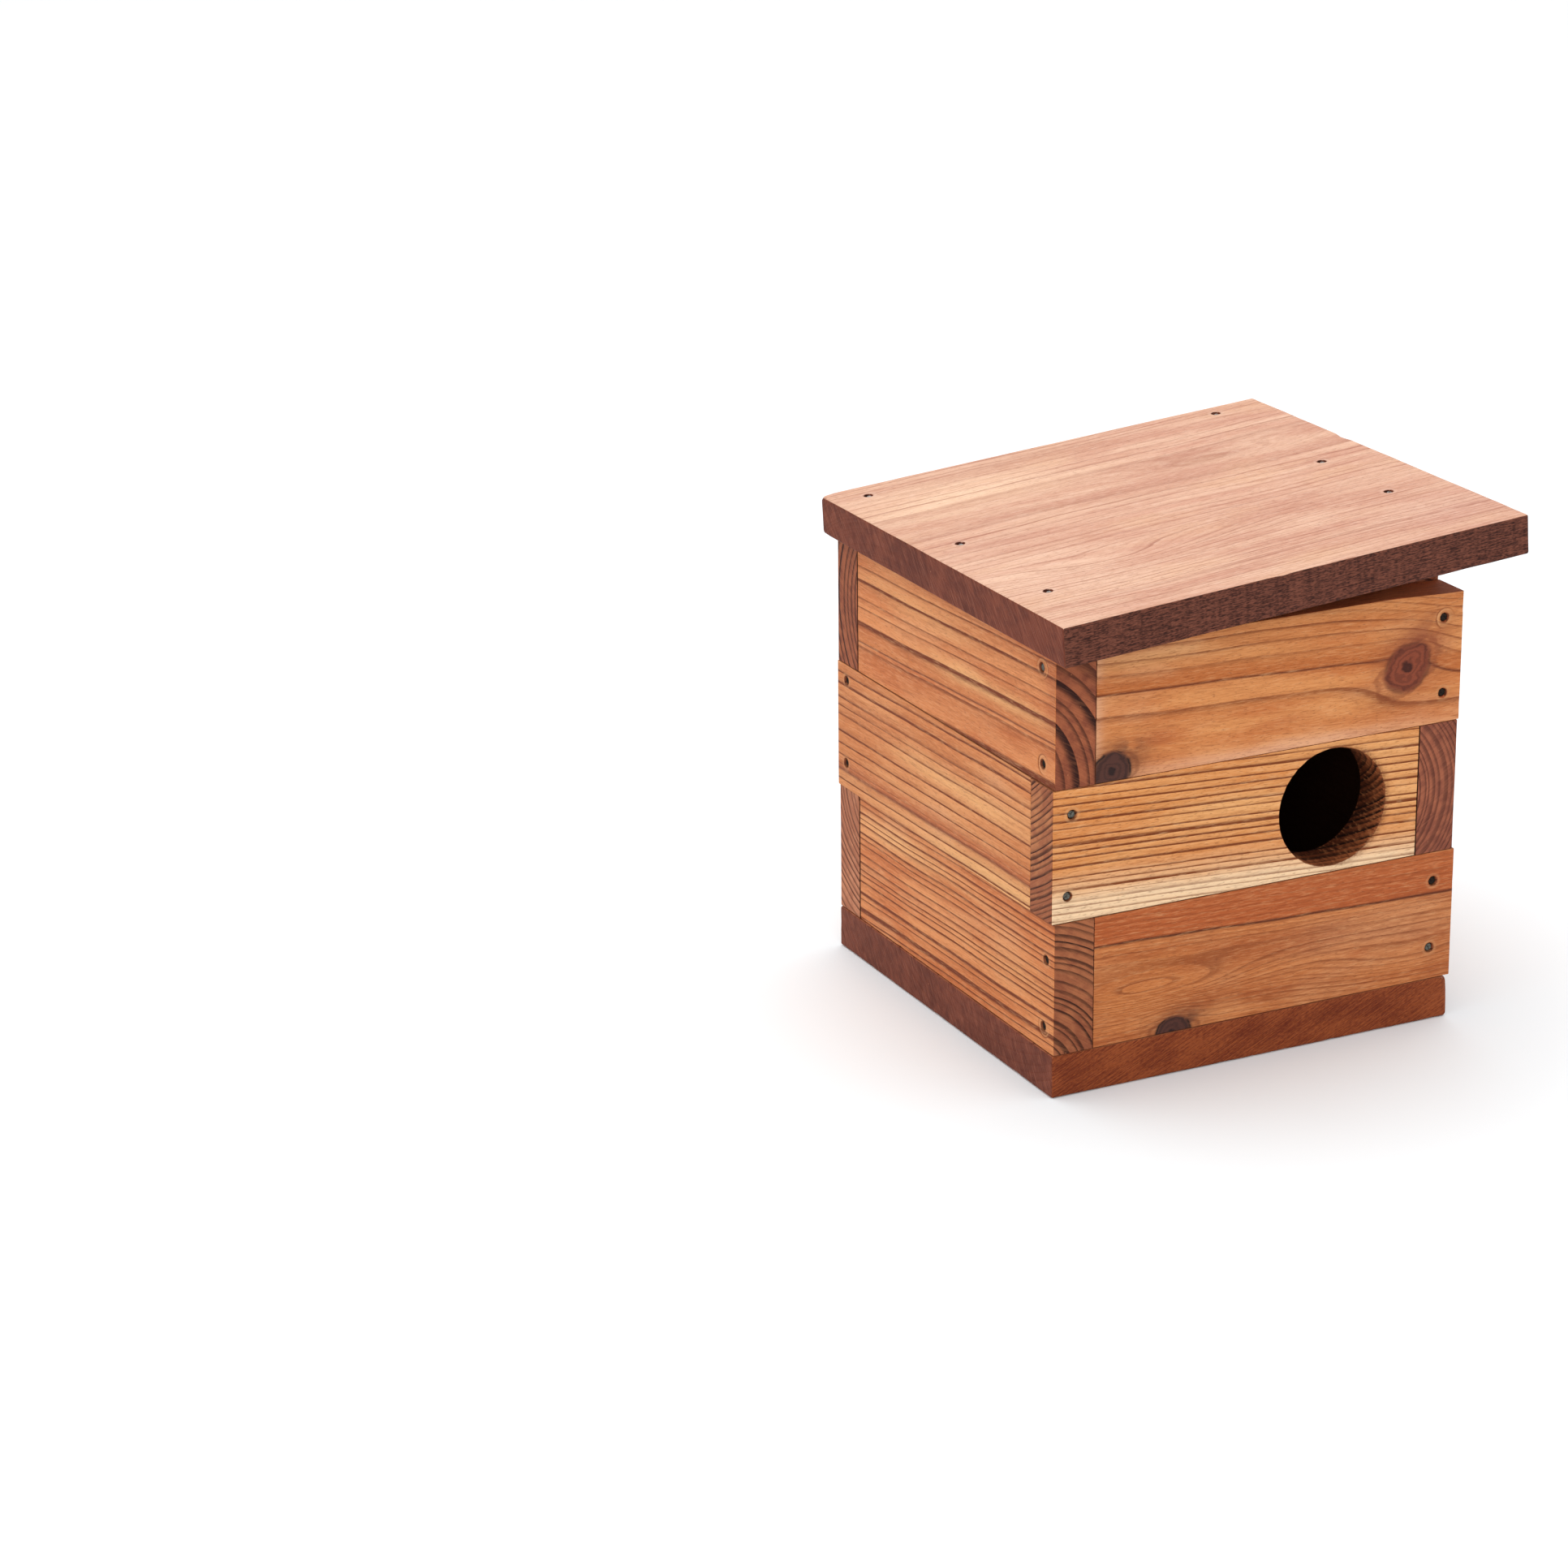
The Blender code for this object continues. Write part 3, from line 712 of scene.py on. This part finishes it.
LOOKS = {
    "front_board_top": varied(
        seed=3.1, pith=(8, 105), spacing=2.1, line=0.50, slope=0.036, wave=4, streak=1.1,
        knots=((151.0, 27.2, 12.2, 10.4, 35, KNOT_RED), (7.5, 4.2, 9.0, 8.4, 10, KNOT_GREY)),
        drop=(112, 182, 10.5), knot_push=0.55, edge=((0.72, 0.200, 0.078), (0.46, 0.100, 0.037)),
        accents=((38.0, 0.48, 0.95, 11.0, (0.47, 0.135, 0.034), (0.130, 0.028, 0.009)),),
        hills=((118, 9, 40, 7, 8),),
        light=(0.65, 0.255, 0.083), deep=(0.53, 0.165, 0.046), blush=(0.68, 0.33, 0.160),
        patches=((30, 50, 42, 4, GOLD, 0.40), (120, 52, 45, 5, (0.50, 0.145, 0.036), 0.45),
                 (30, 15.5, 9, 3.6, RUST, 0.65), (91, 13, 15, 2.8, RUST, 0.5),
                 (90, 1.0, 80, 4.0, (0.74, 0.42, 0.27), 0.6), (0, 30, 3.2, 60, (0.72, 0.42, 0.27), 0.45),
                 (163, 40, 12, 6, RUST, 0.5)),
        dents={"upper": 2.6}, worn_corners=((178.0, 26.0, 1.5),)),
    "front_board_middle": varied(
        seed=8.4, pith=(136, 77), spacing=2.6, uneven=2.4, line=1.35, wave=2.0, ripple=0.35,
        slope=0.050, thin=0.60, streak=1.0, dash=0.36,
        light=(0.74, 0.33, 0.115), deep=(0.64, 0.235, 0.066), blush=(0.71, 0.30, 0.11),
        late=(0.180, 0.040, 0.008), glow=(0.84, 0.50, 0.25),
        sap=((19, 7, PINK_SAP), (12.5, 3.0, SAPWOOD)),
        patches=((15, 50, 55, 9, (0.66, 0.235, 0.058), 0.6), (90, 40, 40, 6, GOLD, 0.4),
                 (165, 35, 25, 22, GOLD, 0.4)),
        end=((0.46, 0.170, 0.068), (0.32, 0.098, 0.042), (0.050, 0.012, 0.006),
             (0.56, 0.240, 0.105))),
    "front_board_bottom": varied(
        seed=5.7, pith=(-70, -40), spacing=2.6, line=0.50, slope=0.034, wave=4, ripple=1.5, fine=1.4,
        light=(0.53, 0.175, 0.052), deep=(0.39, 0.102, 0.027), blush=(0.55, 0.220, 0.085),
        streak=1.5, thin=0.55, knots=((38.7, 0.2, 8.5, 6.4, 0, KNOT_GREY),), knot_push=0.9, rise=0.34,
        hills=((22, 21, 56, 9.0, 19.0), (150, 12, 40, 9, 7)),
        accents=((45.2, 0.58, 1.0, 40.0, RED_BAND, (0.068, 0.015, 0.006)),),
        patches=((98, 53, 34, 3.0, (0.27, 0.058, 0.016), 0.8), (30, 51, 30, 4, (0.50, 0.17, 0.060), 0.5),
                 (150, 50, 26, 3.5, (0.50, 0.165, 0.058), 0.4), (18, 20, 26, 13, (0.60, 0.215, 0.062), 0.5),
                 (62, 5, 12, 4, (0.64, 0.27, 0.100), 0.5), (140, 27, 42, 12, (0.56, 0.26, 0.125), 0.5),
                 (130, 18.5, 5, 2, RUST, 0.6))),
    "left_board_top": varied(
        seed=11.9, pith=(-6, -33), spacing=5.4, uneven=2.2, line=0.95, wave=2.5, thin=0.76,
        slope=-0.030, rise=0.34, streak=1.1,
        light=(0.68, 0.245, 0.082), deep=(0.54, 0.150, 0.040), blush=(0.68, 0.280, 0.112),
        accents=((14.5, 0.45, 0.9, 7.0, (0.56, 0.178, 0.052), (0.150, 0.030, 0.009)),),
        patches=((125, 26, 60, 5.5, GOLD, 0.7), (60, 44, 60, 5, GOLD, 0.4),
                 (90, 7, 60, 6, (0.50, 0.150, 0.044), 0.5), (176, 40, 7, 26, (0.44, 0.120, 0.036), 0.6)),
        dents={"upper": 0.6, "lower": 3.0}),
    "left_board_middle": varied(
        seed=14.2, pith=(118, 36), spacing=5.2, uneven=2.4, line=1.05, wave=3, thin=0.76,
        slope=-0.015, rise=0.30, streak=1.1,
        light=(0.70, 0.290, 0.106), deep=(0.58, 0.190, 0.056), blush=(0.69, 0.31, 0.14),
        accents=((8.0, 0.85, 0.85, 9.0, (0.50, 0.145, 0.044), (0.170, 0.034, 0.010)),),
        patches=((150, 2.5, 70, 6.0, GOLD, 0.8), (120, 34, 60, 5, GOLD, 0.55),
                 (30, 42, 50, 8, (0.54, 0.170, 0.054), 0.5))),
    "left_board_bottom": varied(
        seed=17.3, pith=(-15, -15), spacing=3.3, uneven=2.2, line=1.45, wave=3, thin=0.64,
        slope=-0.018, streak=1.1,
        light=(0.71, 0.270, 0.094), deep=(0.57, 0.162, 0.043), blush=(0.71, 0.315, 0.135),
        patches=((120, 5, 60, 7, (0.52, 0.140, 0.034), 0.65), (40, 48, 50, 6, GOLD, 0.6),
                 (150, 26, 40, 6, GOLD, 0.35)),
        end=((0.36, 0.120, 0.050), (0.25, 0.072, 0.032), (0.026, 0.007, 0.004),
             (0.44, 0.165, 0.070)),
        dents={"lower": 4.7}),
    "right_board_top": varied(
        seed=21.0, pith=(-25, 44), spacing=4.2, uneven=1.8, line=1.0,
        patches=((60, 30, 60, 6, GOLD, 0.6), (140, 12, 40, 8, RUST, 0.3)),
        dents={"lower": 1.0}),
    "right_board_middle": varied(
        seed=23.8, pith=(29, 46), spacing=2.6, uneven=2.2, line=0.90,
        light=(0.63, 0.250, 0.092), deep=(0.48, 0.145, 0.044),
        patches=((110, 40, 60, 7, GOLD, 0.5),),
        end=((0.34, 0.105, 0.053), (0.22, 0.064, 0.036), (0.070, 0.019, 0.013),
             (0.43, 0.155, 0.080)), end_line=0.80),
    "right_board_bottom": varied(
        seed=27.5, pith=(88, -14), spacing=3.6, line=1.0, wave=5,
        light=(0.58, 0.215, 0.074), deep=(0.46, 0.132, 0.040),
        patches=((140, 24, 40, 7, GOLD, 0.5), (20, 44, 40, 6, RUST, 0.4)),
        knots=((64.0, 38.0, 8.0, 7.0, 25, KNOT_RED),), dents={"upper": 2.0}),
    "back_board_top": varied(
        seed=31.6, pith=(32, 58), spacing=3.8, line=0.95, wave=6,
        patches=((120, 38, 55, 7, GOLD, 0.6), (80, 8, 60, 5, RUST, 0.4)),
        knots=((52.0, 20.0, 9.5, 7.0, 20, KNOT_RED),)),
    "back_board_middle": varied(
        seed=35.2, pith=(-44, 30), spacing=4.1, line=1.05, wave=4,
        patches=((60, 20, 60, 6, GOLD, 0.5), (140, 48, 40, 6, RUST, 0.35)),
        light=(0.68, 0.290, 0.104), deep=(0.56, 0.190, 0.058), dents={"lower": 0.4}),
    "back_board_bottom": varied(
        seed=38.9, pith=(70, 42), spacing=3.4, line=1.0, wave=6,
        patches=((60, 12, 50, 7, RUST, 0.45), (130, 36, 50, 6, GOLD, 0.5)),
        end=((0.54, 0.220, 0.115), (0.40, 0.140, 0.070), (0.120, 0.034, 0.018),
             (0.62, 0.290, 0.160))),
    "roof_panel": varied(
        seed=42.7, pith=(150, 120), spacing=2.2, uneven=2.4, line=0.38, wave=9, ripple=2.4,
        slope=-0.020, streak=1.25, fine=1.3, dash=0.40, rise=0.22,
        hills=((160, 150, 42, 11, 20), (60, 60, 50, 14, 14)),
        light=(0.72, 0.430, 0.295), deep=(0.60, 0.300, 0.200), blush=(0.68, 0.380, 0.230),
        late=(0.27, 0.080, 0.045), glow=(0.84, 0.61, 0.48),
        patches=((45, 178, 60, 22, (0.86, 0.58, 0.38), 0.65), (20, 60, 40, 30, (0.84, 0.56, 0.40), 0.45),
                 (90, 205, 60, 9, (0.50, 0.235, 0.145), 0.55), (150, 70, 70, 14, (0.55, 0.26, 0.17), 0.5),
                 (110, 130, 60, 10, (0.56, 0.28, 0.18), 0.35), (205, 25, 34, 24, (0.60, 0.32, 0.25), 0.4),
                 (20, 110, 30, 8, (0.58, 0.30, 0.21), 0.4)),
        edge=((0.172, 0.054, 0.032), (0.034, 0.008, 0.005)), saw=1.15, stain=0.12, band=0.35,
        end_line=0.12, scratch=2.0,
        end=((0.178, 0.042, 0.021), (0.116, 0.025, 0.013), (0.040, 0.009, 0.005),
             (0.36, 0.125, 0.070)),
        ease=0.9, chips=0.12, hole_dark=0.35, worn=(0.30, 0.090, 0.040),
        nicks=((104.0, 0.0, 1.5, 2.0), (222.0, 142.0, 1.6, 2.2), (0.0, 218.0, 5.0, 1.8))),
    "floor_panel": varied(
        seed=46.1, pith=(60, -120), spacing=4.0, line=0.6, wave=9,
        light=(0.36, 0.115, 0.050), deep=(0.27, 0.070, 0.028), blush=(0.30, 0.090, 0.036),
        late=(0.12, 0.028, 0.013), glow=(0.45, 0.18, 0.09), worn=(0.12, 0.028, 0.012),
        edge=((0.310, 0.074, 0.020), (0.126, 0.019, 0.0055)), saw=0.9, stain=0.5, hatch=0.45,
        end_line=0.10, scratch=2.0,
        end=((0.188, 0.049, 0.027), (0.130, 0.032, 0.018), (0.042, 0.011, 0.007),
             (0.34, 0.120, 0.068)),
        ease=1.0, chips=0.3, inside=False,
        nicks=((196.0, 0.0, 2.6, 2.4), (0.0, 92.0, 2.0, 1.4), (0.0, 30.0, 1.5, 1.2))),
}


# --- metals, nails and screws ---
FASTENER_SIDES = 24
FASTENER_CREASE = 40        # degrees
NAIL_SPIN = 2.4             # radians from one nail's turn to the next one's
# Nails are (radius, height) from the top of the head down: a dimple, a rounded head, a shank, a point.
NAIL_OUTLINE = ((0, -0.38), (0.5, -0.32), (1.05, -0.10), (1.45, 0.0), (1.66, -0.16), (1.70, -0.45),
                (1.62, -1.35), (1.30, -1.62), (1.08, -2.0), (1.08, -12.0), (1.08, -24.0),
                (1.08, -36.2), (0.45, -38.8), (0, -40.0))
GREY_NAILS = ("nail_front_middle_upper", "nail_front_middle_lower", "nail_front_bottom_lower",
              "nail_left_top_upper", "nail_right_middle_lower", "nail_back_bottom_upper")
THREAD_PITCH = 1.9
RINGS_PER_TURN = 8
THREAD_START = -13.0
SCREW_LENGTH = 40.0
SCREW_HEAD = 4.0            # radius, as are the next two
SCREW_SHANK = 1.9
SCREW_ROOT = 1.3
TIP_LENGTH = 6.0
RECESS_ARMS = ((4.6, 1.1, 3.6), (1.1, 4.6, 3.6))


def metal(name, bright, dull, rust, metallic, rough, shine=0.5):
    """Bright and dull patches with specks of rust."""
    material, tree, shader = new_material(name)
    x, y, z = (place_on(tree, "Object", axis, 0, 1 / MM) for axis in Matrix.Identity(3))
    patch = cloud(at(x / 0.9, y / 0.9, z / 0.9), 3.0, 0.6)
    fine = cloud(at(x / 0.22, y / 0.22, z / 0.5), 2.0)
    colour = blend(bright, dull, smooth(-0.12, 0.12, patch))
    colour = blend(colour, rust, smooth(0.10, 0.24, cloud(at(x / 0.6, y / 0.6, z / 0.6 + 9), 2.0)))
    finish_surface(tree, shader, colour, rough + patch * 0.3 + fine * 0.1, fine + patch, 0.06)
    shader.inputs["Metallic"].default_value = metallic
    shader.inputs["Specular IOR Level"].default_value = shine
    return material


def turned(name, outline, sides=FASTENER_SIDES, wobble=None):
    """A turned solid from an outline in millimetres."""
    return lathe_mesh(name, [(r * MM, z * MM) for r, z in outline], sides, wobble)


def nail_mesh(material):
    mesh = turned("nail", NAIL_OUTLINE)
    shade(mesh, FASTENER_CREASE)
    mesh.materials.append(material)
    return mesh


def middle_of(node):
    low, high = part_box(node)
    return (low + high) / 2


def add_nail(node, mesh, outward, index):
    """A nail in place of its CAD node, with its head's top where the node's is."""
    low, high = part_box(node)
    head = middle_of(node)
    for axis in range(3):
        if abs(outward[axis]) > 0.5:
            head[axis] = high[axis] if outward[axis] > 0 else low[axis]
    nail = add_object("steel_" + node, mesh)
    turn = outward.to_track_quat("Z", "Y").to_matrix().to_4x4()
    spin = Matrix.Rotation(index * NAIL_SPIN, 4, "Z")
    nail.matrix_world = Matrix.Translation(head) @ turn @ spin
    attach(nail, "house")
    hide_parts(node)


def block_mesh(size):
    """A block round the origin, for cutting."""
    bm = bmesh.new()
    bmesh.ops.create_cube(bm, size=1)
    bmesh.ops.scale(bm, vec=Vector(size) * MM, verts=bm.verts)
    mesh = bpy.data.meshes.new("block")
    bm.to_mesh(mesh)
    bm.free()
    return mesh


def screw_mesh(material):
    """A countersunk wood screw, head top at Z 0, threaded over its lower part, with a cross recess."""
    outline = [(0, 0), (SCREW_HEAD * 0.95, 0), (SCREW_HEAD, -0.22), (SCREW_SHANK * 0.97, -2.7),
               (SCREW_SHANK * 0.97, -12.0), (SCREW_ROOT, -12.6)]
    rings = round((SCREW_LENGTH + THREAD_START - 0.4) / THREAD_PITCH * RINGS_PER_TURN)
    outline += [(SCREW_ROOT, THREAD_START - i * THREAD_PITCH / RINGS_PER_TURN) for i in range(rings)]
    outline.append((0, -SCREW_LENGTH))

    def thread(row, angle):
        height = outline[row][1]
        if height > THREAD_START:
            return 0
        turn = (height / THREAD_PITCH + angle / (2 * math.pi)) % 1
        crest = max(0, 1 - abs(turn - 0.5) * 3.4) * (SCREW_SHANK - SCREW_ROOT)
        taper = min(1, (height + SCREW_LENGTH) / TIP_LENGTH)
        return ((SCREW_ROOT + crest) * taper - SCREW_ROOT) * MM

    blank = add_object("screw blank", turned("screw", outline, wobble=thread))
    mesh = cut_away(blank, [add_object("recess", block_mesh(arm)) for arm in RECESS_ARMS])
    bpy.data.objects.remove(blank)
    mesh.materials.clear()
    mesh.materials.append(material)
    shade(mesh, FASTENER_CREASE)
    return mesh


def add_screw(node, mesh):
    """A floor screw in place of its CAD node, driven up from below."""
    place = middle_of(node)
    place.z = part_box(node)[0].z
    screw = add_object("zinc_" + node, mesh)
    screw.matrix_world = Matrix.Translation(place) @ Matrix.Rotation(math.pi, 4, "X")
    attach(screw, "base")
    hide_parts(node)


# --- boards in place ---
NAIL_HOLE = ((0, 3), (2.35, 3), (2.30, 0.0), (2.05, -0.35), (1.98, -1.9), (1.98, -2.6), (0, -2.6))
SCREW_HOLE = ((0, 2), (4.3, 2), (4.3, 0.6), (4.25, 0.1), (2.35, -2.9), (2.3, -19.6), (0, -19.6))
PILOT_HOLE = ((0, 1), (2.05, 1), (2.0, 0), (1.85, -22.5), (0, -23.5))
BORE_RINGS = 16
BORE_SIDES = 144
# How much wider than the entrance its bore is: above, at and below the outer face, along the wall,
# and before and past the inner face.
BORE_EASE = (0.75, 0.55, 0.12, 0.05, 0.10, 0.5)
HAMMER_RING = (0.5, -0.3, 4.3)          # its centre from the nail's, along and across, and its radius


def bore(name, plank, spot, outline, sides, wobble):
    """A cutter that goes into a plank's outer face at (along, across)."""
    cutter = add_object(name, turned(name, outline, sides, wobble))
    outward = -plank.axes[2]
    turn = outward.to_track_quat("Z", "Y").to_matrix().to_4x4()
    cutter.matrix_world = Matrix.Translation(plank.world(spot[0], spot[1], 0)) @ turn
    return cutter


def nail_hole(plank, spot, seed):
    """The cutter of a nail's recess, its rim a little torn."""
    def torn(row, angle):
        return 0.12 * MM * noise.noise((3 * math.cos(angle), 3 * math.sin(angle), seed + row * 0.3))
    return bore("nail hole", plank, spot, NAIL_HOLE, 28, torn)


def entrance(plank):
    """The bore of the entrance, its wall ridged by the bit and its rim torn a little."""
    depth = plank.size[2]
    above, at_face, below, wall, back, past = (ENTRANCE_RADIUS + ease for ease in BORE_EASE)
    outline = [(0, 4), (above, 4), (at_face, 0.0), (below, -0.6)]
    outline += [(wall, -depth * k / BORE_RINGS) for k in range(1, BORE_RINGS)]
    outline += [(back, -depth + 0.3), (past, -depth - 0.05), (past, -depth - 4), (0, -depth - 4)]

    def torn(row, angle):
        c, s = math.cos(angle), math.sin(angle)
        if row in (1, 2):
            return 0.32 * MM * max(-0.4, noise.noise((9 * c, 9 * s, 2.0)))
        return MM * (0.10 * noise.noise((30 * c, 30 * s, row * 0.35)) + 0.05 * math.sin(row * 2.2))
    return bore("entrance bore", plank, entrance_centre(plank), outline, BORE_SIDES, torn)


def hole_from_below(node, outline, height):
    """A cutter for a floor screw's hole, whose mouth is at this height above the ground, in mm."""
    place = middle_of(node)
    place.z = height * MM
    cutter = add_object("screw hole", turned("screw hole", outline))
    cutter.matrix_world = Matrix.Translation(place) @ Matrix.Rotation(math.pi, 4, "X")
    return cutter


def make_board(node, plank, body, fasteners, other_cutters=()):
    """A board in place of its CAD node, with a recess for each of its nails."""
    settings = LOOKS[node]
    spots = {name: plank.hole_of(name) for name in fasteners}
    dents = []
    for name, spot in spots.items():
        opening = settings["dents"].get(name.rsplit("_", 1)[1])
        if opening is not None:
            dents.append((spot[0] + HAMMER_RING[0], spot[1] + HAMMER_RING[1], HAMMER_RING[2], opening))
    board = add_object("cedar_" + node, board_mesh(node, plank, settings, dents))
    cutters = [nail_hole(plank, spot, i * 3.7) for i, spot in enumerate(spots.values())]
    cutters += other_cutters
    cut_away(board, cutters)
    board.data.materials.clear()
    board.data.materials.append(cedar("cedar " + node, plank, settings, spots.values(), dents))
    shade(board.data)
    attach(board, body)
    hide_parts(node)


def add_boards(floor_screws, roof_nails):
    for side in TURNS:
        for course in COURSES:
            plank = wall_plank(side, course)
            nails = [f"nail_{side}_{course}_{level}" for level in LEVELS]
            holes = [entrance(plank)] if plank.node == ENTRANCE_BOARD else []
            if course == "bottom":
                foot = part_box(plank.node)[0].z / MM
                holes += [hole_from_below(n, PILOT_HOLE, foot) for n in floor_screws if side in n]
            make_board(plank.node, plank, "house", nails, holes)
    make_board("roof_panel", roof_plank(), "house", roof_nails)
    floor_board = Plank("floor_panel", (1, 0, 0), (0, 1, 0), (0, 0, -1))
    holes = [hole_from_below(n, SCREW_HOLE, 0) for n in floor_screws]
    make_board("floor_panel", floor_board, "base", [], holes)


def add_nails(roof_nails, grey, black, bright):
    number = 0
    for side, angle in TURNS.items():
        outward = Matrix.Rotation(math.radians(angle), 3, "Z") @ Vector((0, -1, 0))
        for course in COURSES:
            for level in LEVELS:
                node = f"nail_{side}_{course}_{level}"
                add_nail(node, grey if node in GREY_NAILS else black, outward, number)
                number += 1
    for node in roof_nails:
        add_nail(node, bright, UP, number)
        number += 1


steel = metal("dull steel", (0.15, 0.15, 0.125), (0.040, 0.038, 0.030), (0.07, 0.03, 0.016), 0.7, 0.42)
dark_steel = metal("blackened steel", (0.022, 0.014, 0.009), (0.007, 0.005, 0.004), (0.05, 0.018, 0.009),
                   0.05, 0.62, 0.12)
bright_steel = metal("bright steel", (0.62, 0.60, 0.57), (0.22, 0.19, 0.17), (0.14, 0.06, 0.035), 0.8, 0.38)
zinc = metal("yellow zinc", (0.66, 0.58, 0.38), (0.46, 0.40, 0.26), (0.30, 0.22, 0.14), 1.0, 0.30)

screw_nodes = sorted(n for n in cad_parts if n.startswith("floor_screw_"))
roof_nail_nodes = sorted(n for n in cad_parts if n.startswith("roof_nail_"))
add_boards(screw_nodes, roof_nail_nodes)
add_nails(roof_nail_nodes, nail_mesh(steel), nail_mesh(dark_steel), nail_mesh(bright_steel))
zinc_screw = screw_mesh(zinc)
for screw_node in screw_nodes:
    add_screw(screw_node, zinc_screw)


# --- floor, light and camera ---
FLOOR_REACH = 6.0
FLOOR_HEIGHT = -0.0002      # just under the object
CAMERA_PLACE = (-0.9240, -1.5611, 0.7402)
CAMERA_FORWARD = (0.4080, 0.8487, -0.3365)
CAMERA_ROLL = -0.68         # degrees
CAMERA_LENS = 100.3         # mm, on a sensor 36 mm wide


def studio_floor():
    """A pale floor, painted whiter away from the object to make up for the lamps' falloff, and cooler near
    it against the red light that the house bounces onto it.
    """
    mesh = bpy.data.meshes.new("studio floor")
    a, z = FLOOR_REACH, FLOOR_HEIGHT
    corners = [(-a, -a, z), (a, -a, z), (a, a, z), (-a, a, z)]
    mesh.from_pydata(corners, [], [(0, 1, 2, 3)])
    material, tree, shader = new_material("studio floor")
    x, y, z = (place_on(tree, "Object", axis, 0, 1) for axis in Matrix.Identity(3))
    tint = smooth(-0.3, 0.3, cloud(at(x * 2, y * 2, z), 2.0))
    # painted light: cooler near the house against its red bounce light, and whiter far out where the lamps'
    # light falls off
    near = blend((0.915, 0.94, 0.95), (0.925, 0.95, 0.96), tint)
    feed(shader.inputs["Base Color"], blend(near, (0.99, 0.99, 0.985), smooth(0.4, 1.8, hypot(x, y))))
    shader.inputs["Roughness"].default_value = 0.9
    shader.inputs["Specular IOR Level"].default_value = 0.1
    mesh.materials.append(material)
    add_object("studio_floor", mesh)


def softbox(name, place, target, size, power):
    """A rectangular light of this size in metres and power in watts that faces its target."""
    light = bpy.data.lights.new(name, "AREA")
    light.shape = "RECTANGLE"
    light.size, light.size_y = size
    light.energy = power
    obj = add_object(name, light)
    obj.location = place
    obj.rotation_euler = (Vector(target) - Vector(place)).to_track_quat("-Z", "Y").to_euler()


def studio_light():
    """An almost white surround, a softbox overhead and a weaker one in front."""
    world = bpy.data.worlds.new("studio")
    bpy.context.scene.world = world
    world.use_nodes = True
    background = world.node_tree.nodes["Background"]
    background.inputs["Color"].default_value = (0.985, 0.99, 1.0, 1.0)
    background.inputs["Strength"].default_value = 1.0
    softbox("overhead", (-0.1, 0.35, 1.7), (0, 0, 0.1), (1.5, 1.3), 10)
    softbox("front fill", (-0.9, -1.9, 1.1), (0, 0, 0.1), (1.2, 1.0), 5)
    bpy.context.scene.view_settings.view_transform = "Standard"


def studio_camera():
    """Stands where the photograph was taken, with a slight tilt of the horizon."""
    data = bpy.data.cameras.new("camera")
    data.lens = CAMERA_LENS
    data.sensor_width = 36.0
    data.clip_start = 0.05
    data.clip_end = 50
    camera = add_object("camera", data)
    forward = Vector(CAMERA_FORWARD).normalized()
    level = forward.cross(UP).normalized()
    upright = level.cross(forward)
    roll = math.radians(CAMERA_ROLL)
    right = level * math.cos(roll) + upright * math.sin(roll)
    up = right.cross(forward)
    turn = Matrix((right, up, -forward)).transposed().to_4x4()
    camera.matrix_world = Matrix.Translation(CAMERA_PLACE) @ turn
    bpy.context.scene.camera = camera


studio_floor()
studio_light()
studio_camera()

bpy.context.view_layer.update()
